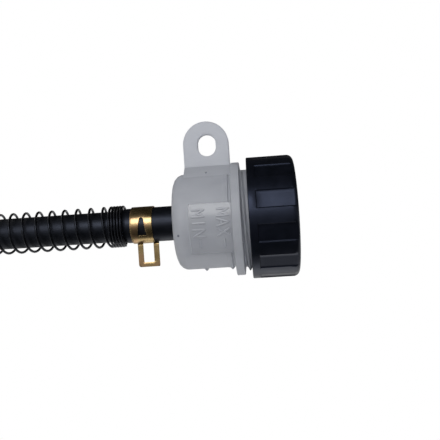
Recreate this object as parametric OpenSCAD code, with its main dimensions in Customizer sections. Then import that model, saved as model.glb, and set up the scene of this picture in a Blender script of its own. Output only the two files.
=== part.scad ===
// Remote brake-fluid reservoir: a moulded cup with a bolt ear, its screw cap and
// diaphragm, and the guarded hose that hangs from the spigot in its floor.
// The cup stands on the Z axis of its own; the last transform puts the origin at
// the middle of the bolt slot, on the back face of the ear.

/* [Cup] */
// Outside diameter of the cup
cup_od = 34.2; // [30:0.1:38]
// Height from the underside of the floor to the flange
cup_h = 20.5; // [17:0.1:30]
// Thickness of the cup's side wall and of the neck's wall
cup_wall = 2.1; // [1.5:0.1:3]
// Thickness of the cup's floor
floor_t = 2.2; // [1.5:0.1:3.5]
// Radius of the rounded edge under the floor
floor_r = 3.4; // [1:0.1:5]
// Radius of the corner inside the cup's floor
floor_inner_r = 2.0; // [0.5:0.1:4]
// How far the flange between the cup and the neck stands out from the cup
flange_out = 3.05; // [2:0.05:4.5]
// Thickness of the flange at its edge
flange_t = 2.9; // [1.5:0.1:4]
// How much thicker each side of the flange is at its root
flange_draft = 0.3; // [0:0.05:0.8]
// How far the threaded neck stands out from the cup's side
neck_out = 0.25; // [-0.5:0.05:1]

/* [Bolt ear] */
// Distance from the cup's side to the middle of the bolt slot
slot_from_cup = 9.9; // [8:0.1:16]
// Height of the slot's middle above the underside of the floor
slot_above_floor = 12.4; // [10:0.1:14]
// Width of the slot, for an M6 bolt
slot_w = 6.5; // [5:0.1:8.5]
// How much longer than wide the slot is
slot_play = 1.3; // [0:0.1:4]
// Width of the ear, which is also the diameter of its round end
ear_w = 16.4; // [14:0.1:18]
// How far the middle of the round end lies beyond the slot's middle
ear_arc_out = 0.4; // [0:0.1:2]
// How far the middle of the ear lies below the slot's middle
ear_drop = 0.3; // [0.1:0.1:1]
// Thickness of the ear
ear_t = 3.0; // [2:0.1:5]
// Thickness of the ear's root where it meets the cup
root_t = 14.2; // [8:0.1:18]
// Thickness of the root at its outer end
root_end_t = 5.0; // [4:0.1:7]
// How far the root stands out from the cup
root_out = 2.3; // [1:0.1:4]

/* [Level marks] */
// Distance from the underside of the floor to the panel
panel_above_floor = 6.1; // [4:0.1:8]
// Angle that the panel spans round the cup
panel_angle = 57; // [40:1:80]
// Angle of the panel's middle from the front, towards the side away from the ear
panel_turn = 9; // [0:1:20]
// How far the panel stands out from the cup
panel_out = 0.9; // [0.3:0.05:1.5]
// Height of the lower level ridge above the underside of the floor
lower_level = 9.6; // [6:0.1:12]
// Distance from the upper level ridge to the flange
upper_below_flange = 1.6; // [1.4:0.1:5]
// How far a level ridge stands out from the cup
ridge_out = 0.8; // [0.3:0.1:1.2]
// Width of a level ridge at its foot
ridge_w = 2.0; // [1:0.1:2.5]
// Width of a level ridge at its crest
ridge_top_w = 0.8; // [0.3:0.05:0.9]

/* [Screw thread] */
// Rise of the thread in one turn
thread_pitch = 3.0; // [2.6:0.1:4]
// How far the neck's thread stands out from the neck
thread_depth = 1.35; // [0.8:0.05:1.6]
// Height of the middle of the thread's start above the flange
thread_start = 0.1; // [0.1:0.1:1]
// Distance from the end of the neck's thread to the neck's rim
thread_below_rim = 3.7; // [3.6:0.1:6]
// Turns of thread in the cap
cap_turns = 1.5; // [1:0.25:1.5]
// Play between the two threads across the axis
thread_play = 0.3; // [0.2:0.05:0.5]

/* [Cap] */
// Thickness of the cap's side at the foot of its thread
cap_wall = 2.45; // [2:0.05:4]
// Height of the cap
cap_h = 16.3; // [15.5:0.1:20]
// Thickness of the cap's top
cap_top_t = 2.4; // [1.6:0.1:3]
// Gap between the flange and the tightened cap
cap_gap = 2.3; // [2:0.1:4]
// Radius of the cap's rounded top edge
cap_edge_r = 2.0; // [0.5:0.1:2.5]
// Width of the raised rim round the cap's top
cap_rim_w = 3.4; // [2.5:0.1:6]
// Depth of the shallow recess inside that rim
cap_recess = 0.4; // [0.2:0.05:0.6]
// Number of flutes round the cap
flutes = 12; // [8:1:16]
// Angle that one flute spans
flute_angle = 16; // [8:0.5:18]
// Depth of the flutes
flute_depth = 0.5; // [0.2:0.05:0.8]
// Height of the plain band below the flutes
cap_band_h = 2.7; // [1:0.1:5]

/* [Diaphragm] */
// Thickness of the rubber rim that seals on the neck
seal_t = 1.8; // [1:0.1:2.5]
// Thickness of the rubber wall
rubber_t = 1.0; // [0.6:0.1:1.4]
// Room between the bellows and the wall of the neck
bellows_room = 1.4; // [1:0.1:2.5]
// How far the folds of the bellows draw in
fold_depth = 2.0; // [1:0.1:2.5]
// Height of one fold
fold_h = 4.0; // [3:0.1:4.5]
// Number of folds
folds = 2; // [2:1:3]
// Thickness of the plate between the cap and the rubber
plate_t = 1.5; // [1:0.1:2]
// Depth of the plate's lip inside the rubber
plate_lip = 2.0; // [1:0.1:3]
// Thickness of the plate's lip
lip_t = 1.0; // [0.6:0.1:1.5]
// Width of the two vent notches in the plate
vent_w = 2.0; // [1:0.1:3]

/* [Hose] */
// Outside diameter of the hose where it is free
hose_od = 11.2; // [10:0.1:12]
// Bore of the hose where it is free
hose_id = 6.8; // [5.5:0.1:7.5]
// Length of the hose
hose_len = 230; // [180:1:260]
// Diameter of the spigot that the hose is pushed over
spigot_od = 8.8; // [7.5:0.1:9.5]
// Length of the spigot
spigot_len = 19.4; // [16:0.1:24]
// Thickness of the spigot's wall
spigot_wall = 1.2; // [1:0.1:2]
// How far the spigot's barb stands out
barb_out = 0.3; // [0.1:0.05:0.5]

/* [Hose guard] */
// Diameter of the guard's wire
wire_d = 0.9; // [0.5:0.05:1.2]
// Rise of the open coils in one turn
guard_pitch = 4.85; // [3.5:0.05:6]
// Gap between the closed coils at each end
coil_gap = 0.15; // [0.1:0.05:0.6]
// Closed coils at each end
end_coils = 5; // [2:1:6]
// Room between the hose and the guard's coils
guard_room = 1.1; // [0.8:0.1:2]
// Gap between the guard and the upper clamp
guard_gap = 2.4; // [1:0.1:4]

/* [Hose clamps] */
// Width of the clamp's band
band_w = 7.8; // [7:0.1:9.5]
// Thickness of the clamp's band
band_t = 0.4; // [0.3:0.05:1]
// Distance from the spigot's lower end to the upper clamp
clamp_above_tip = 3.2; // [1.6:0.1:4]
// Distance from the lower end of the hose to the lower clamp
clamp_rise = 6.0; // [5:0.1:12]
// Width of the slot through the loop tab
loop_slot = 3.8; // [3:0.1:4.3]
// Width of each leg of the loop tab
leg_w = 2.0; // [1.2:0.1:2.5]
// How far the loop tab stands out from the band
loop_out = 8.5; // [6:0.1:10]
// Thickness of the bar that closes the loop tab
loop_bar = 1.65; // [0.8:0.05:2]
// How far the tabs lie above the middle of the band
tab_shift = 1.05; // [0:0.05:1.2]
// Play on each side of the tongue that runs through the loop tab
tongue_play = 0.25; // [0.1:0.05:0.6]
// How far the tongue's tab stands out from the band
tongue_out = 5.3; // [4:0.1:6]
// Width of the tongue's tab
tongue_tab_w = 6.0; // [4:0.1:7]
// Width of the front window at its narrow end
window_narrow = 1.2; // [1:0.1:2]
// Width of the front window at its wide end
window_wide = 3.4; // [2:0.1:4]

/* [Hidden] */
$fn = 64;
bite = 0.4;         // how deep one shape is sunk into another that it is moulded with
slide_gap = 0.05;   // radial clearance of a clamp on the hose
seat_gap = 0.1;     // clearance of a loose end against its seat
lift_gap = 0.3;     // clearance of the snap bead under the plate
bead_h = 0.9;       // height of the snap bead
bead_grip = 0.4;    // how far the snap bead reaches under the plate
ring_play = 0.4;    // clearance round the rubber rim, inside the bead
bore_play = 0.55;   // clearance of the cap's upper bore round the neck
plate_play = 0.6;   // clearance of the plate in the cap's upper bore
lip_play = 0.9;     // clearance of the plate's lip inside the rubber
root_play = 0.1;    // extra depth of the cap's bore behind the neck's thread
shoulder_play = 0.2;  // clearance of the cap's shoulder above the threads
chamfer = 0.5;      // chamfer at the cap's mouth and shoulder
arc_steps = 6;      // straight pieces in a quarter round
thread_steps = 36;  // stations in one turn of thread
thread_fade = 30;   // angle over which a thread rises out of its wall
coil_steps = 12;    // stations in one turn of wire
first_flute = 283.8;  // angle of the first flute's middle
thread_from = 190;    // angle at which both threads start
front_angle = 270;    // angle of the front, where the panel is, a quarter turn from the ear
wire_from = 281;      // angle at which the guard's wire starts
cap_lead = 1.5;       // turns of the neck's thread below the start of the cap's thread
end_share = 0.1;      // height of a thread's end, as a share of one station
ridge_from = -8;      // angle at which the level ridges start
ridge_angle = 48;     // angle that they span
over = 1;           // how far a cutter runs past what it cuts

// Heights along the cup's axis, with the bolt slot's middle at 0
floor_z = -slot_above_floor;
flange_z = floor_z + cup_h;
neck_z = flange_z + flange_t;
cap_z = neck_z + flange_draft + cap_gap;
cap_top_z = cap_z + cap_h;
ceiling_z = cap_top_z - cap_top_t;
plate_z = ceiling_z - plate_t;
neck_top_z = plate_z - seal_t;
spigot_z = floor_z - spigot_len;
hose_top_z = floor_z - lift_gap;
hose_end_z = hose_top_z - hose_len;

// Radii of the cup and its spigot
cup_r = cup_od / 2;
slot_to_axis = cup_r + slot_from_cup;
flange_r = cup_r + flange_out;
neck_r = cup_r + neck_out;
cavity_r = cup_r - cup_wall;
bore_r = spigot_od / 2 - spigot_wall;
spigot_r = spigot_od / 2;
barb_r = spigot_r + barb_out;
barb_h = 2.4;         // height of the barb's slope
flare_h = 3.0;        // height over which the hose swells

// Thread: half widths at the wall and at the crest, on the neck and in the cap
thread_root = 0.95;
thread_crest = 0.35;
neck_crest_r = neck_r + thread_depth;
cap_root_r = neck_crest_r + thread_play + root_play;
cap_crest_r = neck_r + thread_play;
neck_thread_z = neck_z + flange_draft + thread_start;
neck_turns = (neck_top_z - thread_below_rim - neck_thread_z) / thread_pitch;
cap_thread_z = neck_thread_z + cap_lead * thread_pitch;
cap_r = cap_root_r + cap_wall;
cap_bore_r = neck_r + bore_play;
shoulder_z = max(cap_thread_z + cap_turns * thread_pitch, neck_top_z - thread_below_rim)
    + thread_root + shoulder_play;

// Plate, bead and bellows
plate_r = cap_bore_r - plate_play;
bead_r = plate_r - bead_grip;
seal_r = bead_r - ring_play;
bellows_r = cavity_r - bellows_room;
lip_r = bellows_r - rubber_t - lip_play;
skirt_h = 2.2;        // height of the plain skirt above the folds
bellows_end_z = neck_top_z - skirt_h - folds * fold_h;

// Hose stretched over the spigot keeps the cross-section of its rubber
grip_r = sqrt(pow(spigot_od, 2) + pow(hose_od, 2) - pow(hose_id, 2)) / 2;
upper_band_z = spigot_z + clamp_above_tip + band_w / 2;
lower_band_z = hose_end_z + clamp_rise + band_w / 2;
upper_ring_r = grip_r + slide_gap;
lower_ring_r = hose_od / 2 + slide_gap;

// Loop tab and tongue of a clamp
loop_w = loop_slot + 2 * leg_w;
tongue_w = loop_slot - 2 * tongue_play;

// Guard: from just above the lower clamp's loop tab to the gap under the upper clamp
coil_r = hose_od / 2 + guard_room + wire_d / 2;
end_pitch = wire_d + coil_gap;   // rise of the closed coils in one turn
guard_z = lower_band_z + tab_shift + loop_w / 2 + seat_gap + wire_d / 2;
guard_top_z = upper_band_z - band_w / 2 - guard_gap - wire_d / 2;
open_turns = (guard_top_z - guard_z - 2 * end_coils * end_pitch) / guard_pitch;
guard_turns = open_turns + 2 * end_coils;
wire_half = wire_d / 2 * sqrt(PI) / 2;   // half side of the square with the wire's own area

// Clamp: angles round the hose from the loop tab, and the front window's ends
shoulder_angle = 8;
slot_angle = 75;
tongue_angle = 60;
window_from = -25;
window_to = 34;
window_shift = 0.2;   // how far its middle lies above the band's

// Points of a quarter round about [x, y], from angle a0 to a1
function arc(x, y, r, a0, a1) =
    [for (i = [0 : arc_steps]) let (a = a0 + (a1 - a0) * i / arc_steps)
        [x + r * cos(a), y + r * sin(a)]];

// Faces of a closed tube of n stations with k points each
function tube_faces(n, k) = concat(
    [[for (j = [k - 1 : -1 : 0]) j]],
    [for (i = [0 : n - 2]) for (j = [0 : k - 1]) let (a = i * k + j, b = i * k + (j + 1) % k)
        each [[a, b, b + k], [a, b + k, a + k]]],
    [[for (j = [0 : k - 1]) (n - 1) * k + j]]);

// A point at radius r, angle a and height z
function polar(r, a, z) = [r * cos(a), r * sin(a), z];

// How far a thread has risen out of its wall at station i of n, from 0 to 1
function risen(i, n) = let (fade = thread_fade * thread_steps / 360)
    min(1, (i + end_share) / fade, (n - i + end_share) / fade);

// A ridge that climbs round the axis: from foot_r, sunk in its wall, to crest_r
module thread(wall_r, crest_r, z, turns) {
    n = ceil(turns * thread_steps);
    side = sign(crest_r - wall_r);
    slope = (thread_root - thread_crest) / abs(crest_r - wall_r);
    foot_r = wall_r - side * bite;
    foot = thread_root + slope * bite;
    rings = [for (i = [0 : n]) let (
            a = thread_from + i * 360 / thread_steps,
            h = z + thread_pitch * i / thread_steps,
            r = wall_r + (crest_r - wall_r) * risen(i, n),
            w = thread_root - slope * abs(r - wall_r),
            section = [polar(foot_r, a, h - foot), polar(r, a, h - w),
                       polar(r, a, h + w), polar(foot_r, a, h + foot)])
        each side > 0 ? section : [for (j = [3 : -1 : 0]) section[j]]];
    polyhedron(points = rings, faces = tube_faces(n + 1, 4), convexity = 8);
}

// A sector of a ring, turned from angle a0 to a1
module sector(r0, r1, z0, z1, a0, a1) {
    rotate([0, 0, a0]) rotate_extrude(angle = a1 - a0)
        translate([r0, z0]) square([r1 - r0, z1 - z0]);
}

// Half section of the cup, flange, neck and spigot
module cup_section() {
    polygon(concat(
        [[bore_r, spigot_z], [spigot_r - barb_out, spigot_z],
         [barb_r, spigot_z + barb_h], [spigot_r, spigot_z + barb_h + barb_out]],
        [[spigot_r, floor_z]],
        arc(cup_r - floor_r, floor_z + floor_r, floor_r, -90, 0),
        [[cup_r, flange_z - flange_draft], [flange_r, flange_z],
         [flange_r, neck_z], [neck_r, neck_z + flange_draft],
         [neck_r, neck_top_z], [cavity_r, neck_top_z]],
        arc(cavity_r - floor_inner_r, floor_z + floor_t + floor_inner_r, floor_inner_r, 0, -90),
        [[bore_r, floor_z + floor_t]]));
}

// Flat ear with its round end, and the root that widens from it to the cup's side
module ear() {
    arc_x = slot_to_axis + ear_arc_out;
    wall_x = sqrt(pow(cup_r, 2) - pow(root_t / 2, 2));
    foot_z = -ear_drop - ear_w / 2;
    difference() {
        union() {
            translate([0, ear_t / 2, -ear_drop]) rotate([90, 0, 0]) linear_extrude(ear_t) union() {
                translate([-arc_x, 0]) circle(d = ear_w);
                translate([-arc_x, -ear_w / 2]) square([arc_x, ear_w]);
            }
            translate([0, 0, foot_z]) linear_extrude(flange_z - foot_z) polygon([
                [0, -root_t / 2], [0, root_t / 2], [-wall_x, root_t / 2],
                [-cup_r - root_out, root_end_t / 2], [-cup_r - root_out, -root_end_t / 2],
                [-wall_x, -root_t / 2]]);
        }
        translate([0, 0, foot_z - over])
            cylinder(r = cup_r - cup_wall / 2, h = flange_z - foot_z + 2 * over);
    }
}

// Slot for the bolt, through the ear
module bolt_slot() {
    translate([-slot_to_axis, ear_t / 2 + over, 0]) rotate([90, 0, 0])
        linear_extrude(ear_t + 2 * over) union() {
            for (s = [-1, 1]) translate([s * slot_play / 2, 0]) circle(d = slot_w);
            square([slot_play, slot_w], center = true);
        }
}

// A short level ridge round the side away from the ear
module level_ridge(z) {
    rotate([0, 0, ridge_from]) rotate_extrude(angle = ridge_angle) polygon([
        [cup_r - bite, z - ridge_w / 2], [cup_r, z - ridge_w / 2],
        [cup_r + ridge_out, z - ridge_top_w / 2], [cup_r + ridge_out, z + ridge_top_w / 2],
        [cup_r, z + ridge_w / 2], [cup_r - bite, z + ridge_w / 2]]);
}

// Puts the cup's axis where the slot's distance and the ear's back face want it
module on_axis() {
    translate([slot_to_axis, -ear_t / 2, 0]) children();
}

module reservoir_body() {
    panel_from = front_angle + panel_turn - panel_angle / 2;
    color([0.72, 0.75, 0.78]) on_axis() difference() {
        union() {
            rotate_extrude() cup_section();
            ear();
            sector(cup_r - bite, cup_r + panel_out, floor_z + panel_above_floor, flange_z,
                   panel_from, panel_from + panel_angle);
            level_ridge(floor_z + lower_level);
            level_ridge(flange_z - upper_below_flange);
            thread(neck_r, neck_crest_r, neck_thread_z, neck_turns);
        }
        bolt_slot();
    }
}

// Half section of the cap: its recessed top, its snap bead and its two bores
module cap_section() {
    bead_z = plate_z - lift_gap - bead_h;
    polygon(concat(
        [[cap_root_r + chamfer, cap_z], [cap_r - chamfer / 2, cap_z], [cap_r, cap_z + chamfer / 2]],
        arc(cap_r - cap_edge_r, cap_top_z - cap_edge_r, cap_edge_r, 0, 90),
        [[cap_r - cap_rim_w, cap_top_z], [cap_r - cap_rim_w - cap_recess, cap_top_z - cap_recess],
         [0, cap_top_z - cap_recess], [0, ceiling_z], [cap_bore_r, ceiling_z],
         [cap_bore_r, bead_z + bead_h], [bead_r, bead_z + bead_h],
         [bead_r, bead_z + bead_h / 2], [cap_bore_r, bead_z],
         [cap_bore_r, shoulder_z + chamfer], [cap_root_r, shoulder_z],
         [cap_root_r, cap_z + chamfer]]));
}

module cap() {
    color([0.09, 0.10, 0.12]) on_axis() {
        difference() {
            rotate_extrude() cap_section();
            for (i = [0 : flutes - 1]) {
                middle = first_flute + i * 360 / flutes;
                sector(cap_r - flute_depth, cap_r + over, cap_z + cap_band_h, cap_top_z + over,
                       middle - flute_angle / 2, middle + flute_angle / 2);
            }
        }
        thread(cap_root_r, cap_crest_r, cap_thread_z, cap_turns);
    }
}

// Flat ring with a lip inside the rubber and two vent notches in its edge
module diaphragm_plate() {
    color([0.16, 0.17, 0.19]) on_axis() difference() {
        rotate_extrude() polygon([
            [lip_r - lip_t, plate_z - plate_lip], [lip_r, plate_z - plate_lip],
            [lip_r, plate_z], [plate_r, plate_z], [plate_r, ceiling_z],
            [lip_r - lip_t, ceiling_z]]);
        for (s = [-1, 1]) translate([s * plate_r, 0, plate_z + plate_t / 2])
            cube([2 * plate_t, vent_w, plate_t + 2 * over], center = true);
    }
}

// Rubber bellows, closed below, with the rim that seals on the neck
module diaphragm() {
    outer = [for (i = [0 : 2 * folds])
        [bellows_r - (i % 2 == 1 ? fold_depth : 0), neck_top_z - skirt_h - i * fold_h / 2]];
    inner = [for (i = [2 * folds : -1 : 0]) [outer[i][0] - rubber_t, outer[i][1] +
        (i == 2 * folds ? rubber_t : 0)]];
    color([0.13, 0.13, 0.14]) on_axis() rotate_extrude() polygon(concat(
        [[seal_r, plate_z], [seal_r, neck_top_z], [bellows_r, neck_top_z]],
        outer,
        [[0, bellows_end_z], [0, bellows_end_z + rubber_t]],
        inner,
        [[bellows_r - rubber_t, plate_z]]));
}

// Hose from the cup's floor straight down, swollen where it grips the spigot
module hose() {
    color([0.08, 0.08, 0.09]) on_axis() rotate_extrude() polygon([
        [hose_id / 2, hose_end_z], [hose_od / 2, hose_end_z],
        [hose_od / 2, spigot_z - flare_h / 2], [grip_r, spigot_z + flare_h / 2],
        [grip_r, hose_top_z], [spigot_r, hose_top_z],
        [spigot_r, spigot_z + barb_h + barb_out], [spigot_r, spigot_z],
        [hose_id / 2, spigot_z - flare_h / 2]]);
}

// Height of the guard's wire above its lower end after t turns
function guard_rise(t) =
    end_pitch * min(t, end_coils)
    + guard_pitch * max(0, min(t - end_coils, open_turns))
    + end_pitch * max(0, t - end_coils - open_turns);

// Wire spring round the hose: closed coils, open coils, closed coils
module hose_guard() {
    n = ceil(guard_turns * coil_steps);
    rings = [for (i = [0 : n]) let (t = guard_turns * i / n, a = wire_from + 360 * t,
            z = guard_z + guard_rise(t))
        each [polar(coil_r - wire_half, a, z - wire_half), polar(coil_r + wire_half, a, z - wire_half),
              polar(coil_r + wire_half, a, z + wire_half), polar(coil_r - wire_half, a, z + wire_half)]];
    color([0.12, 0.12, 0.12]) on_axis()
        polyhedron(points = rings, faces = tube_faces(n + 1, 4), convexity = 60);
}

// One strip of spring steel bent round the hose: a full band with the front window,
// two rails that end in the loop tab, and a tongue that runs through the loop
module band_clamp(ring_r) {
    out_r = ring_r + band_t;
    half = band_w / 2;
    difference() {
        sector(ring_r, out_r, -half, half, slot_angle, 360 - shoulder_angle);
        translate([0, 0, window_shift]) rotate([90, 0, 0]) linear_extrude(out_r + over) polygon([
            [out_r * sin(window_from), -window_narrow / 2], [out_r * sin(window_to), -window_wide / 2],
            [out_r * sin(window_to), window_wide / 2], [out_r * sin(window_from), window_narrow / 2]]);
    }
    difference() {
        union() {
            sector(ring_r, out_r, -half, half, 0, slot_angle + 1);
            translate([ring_r + band_t / 4, 0, tab_shift - loop_w / 2])
                cube([loop_out + 3 * band_t / 4, band_t, loop_w]);
        }
        translate([0, -over, tab_shift - loop_slot / 2])
            cube([out_r + loop_out - loop_bar, band_t + over, loop_slot]);
        sector(ring_r - over, out_r + over, tab_shift - loop_slot / 2, tab_shift + loop_slot / 2,
               0, slot_angle);
    }
    sector(ring_r, out_r, tab_shift - tongue_w / 2, tab_shift + tongue_w / 2,
           -shoulder_angle - 1, tongue_angle);
    rotate([0, 0, tongue_angle]) translate([ring_r, -band_t, tab_shift - tongue_w / 2])
        cube([band_t + tongue_out, band_t, tongue_w]);
    rotate([0, 0, tongue_angle]) translate([out_r + seat_gap, -band_t, tab_shift - tongue_tab_w / 2])
        cube([tongue_out - seat_gap, band_t, tongue_tab_w]);
}

module clamp_upper() {
    color([0.80, 0.62, 0.28]) on_axis() translate([0, 0, upper_band_z]) band_clamp(upper_ring_r);
}

module clamp_lower() {
    color([0.80, 0.62, 0.28]) on_axis() translate([0, 0, lower_band_z]) band_clamp(lower_ring_r);
}

reservoir_body();
cap();
diaphragm_plate();
diaphragm();
hose();
hose_guard();
clamp_upper();
clamp_lower();
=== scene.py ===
# Remote brake-fluid reservoir with its guarded hose: the looks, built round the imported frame
import math
import bmesh
import bpy
import numpy as np
from math import radians
from mathutils import Matrix, Vector


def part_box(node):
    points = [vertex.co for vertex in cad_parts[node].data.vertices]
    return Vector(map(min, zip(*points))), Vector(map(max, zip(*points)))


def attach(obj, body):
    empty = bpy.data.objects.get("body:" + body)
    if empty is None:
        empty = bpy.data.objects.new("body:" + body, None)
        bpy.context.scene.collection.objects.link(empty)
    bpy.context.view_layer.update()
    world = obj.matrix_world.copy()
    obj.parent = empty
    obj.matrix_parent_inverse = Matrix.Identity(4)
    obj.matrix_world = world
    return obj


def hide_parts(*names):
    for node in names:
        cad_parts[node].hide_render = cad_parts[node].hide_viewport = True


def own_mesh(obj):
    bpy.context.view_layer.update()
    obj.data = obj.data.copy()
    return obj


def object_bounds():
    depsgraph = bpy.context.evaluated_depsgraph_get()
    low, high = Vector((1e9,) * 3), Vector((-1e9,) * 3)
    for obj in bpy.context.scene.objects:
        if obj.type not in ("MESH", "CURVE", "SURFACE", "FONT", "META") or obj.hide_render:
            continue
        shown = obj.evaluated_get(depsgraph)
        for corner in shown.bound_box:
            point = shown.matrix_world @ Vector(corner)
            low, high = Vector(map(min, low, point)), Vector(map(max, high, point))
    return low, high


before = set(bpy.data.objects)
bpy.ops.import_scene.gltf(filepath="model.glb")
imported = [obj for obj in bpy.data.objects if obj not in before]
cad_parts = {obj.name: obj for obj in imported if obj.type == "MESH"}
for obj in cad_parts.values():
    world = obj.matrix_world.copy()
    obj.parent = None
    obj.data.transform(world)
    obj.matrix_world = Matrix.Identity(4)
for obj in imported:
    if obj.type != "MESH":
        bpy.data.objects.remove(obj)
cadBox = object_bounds()
mm = 0.001
print("frame loaded:", len(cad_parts), "nodes")


def boxOf(node):
    # lowest and highest corner of a CAD node, in millimetres
    low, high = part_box(node)
    return np.array(low) / mm, np.array(high) / mm


hoseLow, hoseHigh = boxOf("hose")
capLow, capHigh = boxOf("cap")
bodyLow = boxOf("reservoir_body")[0]
axisX, axisY = np.round((hoseLow[:2] + hoseHigh[:2]) / 2, 2)   # cup, cap, hose and clamps share this axis
axisPoint = (axisX * mm, axisY * mm)


# Tools for shapes

def smooth(x):
    # eases from 0 to 1 while x goes from 0 to 1
    x = np.clip(x, 0, 1)
    return x * x * (3 - 2 * x)


def hump(x):
    # rises from 0 at -1 to 1 at 0 and back to 0 at 1, along a cosine
    return 0.5 + 0.5 * np.cos(math.pi * np.clip(x, -1, 1))


def aroundAxis(r, a, z):
    # radius, angle and height round the cup's axis as x, y and z
    return np.stack([axisX + r * np.cos(a), axisY + r * np.sin(a), z], axis=-1)


def addObject(name, data):
    # an object in the scene that holds the data
    thing = bpy.data.objects.new(name, data)
    bpy.context.scene.collection.objects.link(thing)
    return thing


def gridMesh(name, points, closedU=False, closedV=False, keep=None):
    # points[u, v] in millimetres becomes a mesh of quads; keep[u, v] says which cells are filled
    nu, nv = points.shape[:2]
    u, v = np.meshgrid(np.arange(nu if closedU else nu - 1),
                       np.arange(nv if closedV else nv - 1), indexing="ij")
    if keep is not None:
        u, v = u[keep], v[keep]
    u2, v2 = (u + 1) % nu, (v + 1) % nv
    quads = np.stack([u * nv + v, u2 * nv + v, u2 * nv + v2, u * nv + v2], axis=-1).reshape(-1, 4)
    mesh = bpy.data.meshes.new(name)
    mesh.vertices.add(nu * nv)
    mesh.vertices.foreach_set("co", (points * mm).astype(np.float32).ravel())
    mesh.loops.add(quads.size)
    mesh.loops.foreach_set("vertex_index", quads.astype(np.int32).ravel())
    mesh.polygons.add(len(quads))
    mesh.polygons.foreach_set("loop_start", np.arange(0, quads.size, 4, dtype=np.int32))
    mesh.update(calc_edges=True)
    tidy = bmesh.new()
    tidy.from_mesh(mesh)
    bmesh.ops.remove_doubles(tidy, verts=tidy.verts, dist=1e-7)
    bmesh.ops.delete(tidy, geom=[v for v in tidy.verts if not v.link_faces], context="VERTS")
    if not any(e.is_boundary for e in tidy.edges):
        if tidy.calc_volume(signed=True) < 0:
            bmesh.ops.reverse_faces(tidy, faces=tidy.faces)
    tidy.to_mesh(mesh)
    tidy.free()
    return mesh


def solidRod(name, points):
    # rings of points along a rod, closed at both ends by the middle of the end ring
    ends = [points[[i]].mean(axis=1, keepdims=True).repeat(points.shape[1], 1) for i in (0, -1)]
    return gridMesh(name, np.concatenate([ends[0], points, ends[1]]), False, True)


def newPiece(name, mesh, material, body, slot, *nodes, sharp=35):
    # links a mesh as a piece, smooth apart from edges sharper than the angle
    piece = addObject(name, mesh)
    mesh.materials.clear()
    mesh.materials.append(material)
    mesh.shade_smooth()
    mesh.set_sharp_from_angle(angle=radians(sharp))
    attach(piece, body)
    if nodes:
        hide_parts(*nodes)
    return piece


def rounded(corners, steps=5):
    # profile through corners of (r, z, radius), each corner swapped for an arc that touches both sides
    points = np.array([c[:2] for c in corners], float)
    before, after = np.roll(points, 1, axis=0), np.roll(points, -1, axis=0)
    line = []
    for p, a, b, radius in zip(points, before, after, [c[2] for c in corners]):
        inward, outward = (a - p) / np.linalg.norm(a - p), (b - p) / np.linalg.norm(b - p)
        if radius <= 0:
            line.append(p[None])
            continue
        half = math.acos(np.clip(inward @ outward, -1, 1)) / 2
        middle = p + (inward + outward) / np.linalg.norm(inward + outward) * radius / math.sin(half)
        start, end = p + inward * radius / math.tan(half), p + outward * radius / math.tan(half)
        turn = np.linspace(0, 1, steps + 1)[:, None]
        spread = (1 - turn) * (start - middle) + turn * (end - middle)
        line.append(middle + spread / np.linalg.norm(spread, axis=1, keepdims=True) * radius)
    return np.concatenate(line)


def densify(line, step, closed=True):
    # adds points so that no side of the profile is longer than step(r, z) allows
    if closed:
        line = np.vstack([line, line[:1]])
    parts = []
    for a, b in zip(line[:-1], line[1:]):
        n = max(1, math.ceil(np.linalg.norm(b - a) / step(*((a + b) / 2)) - 1e-6))
        parts.append(a + (b - a) * np.linspace(0, 1, n, endpoint=False)[:, None])
    return np.concatenate(parts if closed else parts + [line[-1:]])


def revolve(profile, angles, shape=None):
    # each profile point (r, z) goes round the cup's axis; shape(r, z, angle) may change the radius
    r, a = np.meshgrid(profile[:, 0], angles, indexing="ij")
    z = np.repeat(profile[:, 1:], len(angles), axis=1)
    if shape:
        r = shape(r, z, a)
    return aroundAxis(r, a, z)


def ringAngles(count, *extra):
    # even angles round the axis in radians, with extra ones in degrees where the surface changes fast
    some = np.concatenate([np.arange(count) * 360 / count, *[np.atleast_1d(e) for e in extra]]) % 360
    some = np.unique(np.round(some, 3))
    gap = np.diff(np.append(some, some[0] + 360))
    return np.radians(some[gap > 0.04])


def away(a, middle):
    # signed angle in radians from middle, in degrees, the short way round
    return (a - radians(middle) + math.pi) % (2 * math.pi) - math.pi


def threadHeight(z, a, thread):
    # share of a helical ridge at height z and angle a: a cosine hump on the line that climbs a pitch a turn,
    # faded at both ends
    pitch, low = thread["pitch"], thread["low"]
    climb = low + pitch * ((a - radians(thread["from"])) / (2 * math.pi) % 1)
    off = (z - climb + pitch / 2) % pitch - pitch / 2
    along = (z - off - low) / pitch
    fades = smooth(along / thread["fade"]) * smooth((thread["turns"] - along) / thread["fade"])
    return hump(off / thread["halfWidth"]) * fades


# Tools for materials

def linear(hexColour):
    # sRGB hex colour as linear RGBA
    parts = [int(hexColour[i:i + 2], 16) / 255 for i in (1, 3, 5)]
    return [c / 12.92 if c <= 0.04045 else ((c + 0.055) / 1.055) ** 2.4 for c in parts] + [1]


def connect(tree, node, sockets):
    # each named socket gets a value, a link from another socket, or a link from a node's first output
    for key, value in sockets.items():
        if isinstance(value, bpy.types.Node):
            value = value.outputs[0]
        if isinstance(value, bpy.types.NodeSocket):
            tree.links.new(value, node.inputs[key])
        else:
            node.inputs[key].default_value = value


def addNode(tree, kind, sockets=None, stops=(), **settings):
    # one node with its settings, links and values; stops are the places and hex colours on a ramp
    node = tree.nodes.new("ShaderNode" + kind)
    for key, value in settings.items():
        setattr(node, key, value)
    connect(tree, node, sockets or {})
    for i, (place, colour) in enumerate(stops):
        mark = node.color_ramp.elements[i] if i < 2 else node.color_ramp.elements.new(place)
        mark.position, mark.color = place, linear(colour)
    return node


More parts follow.
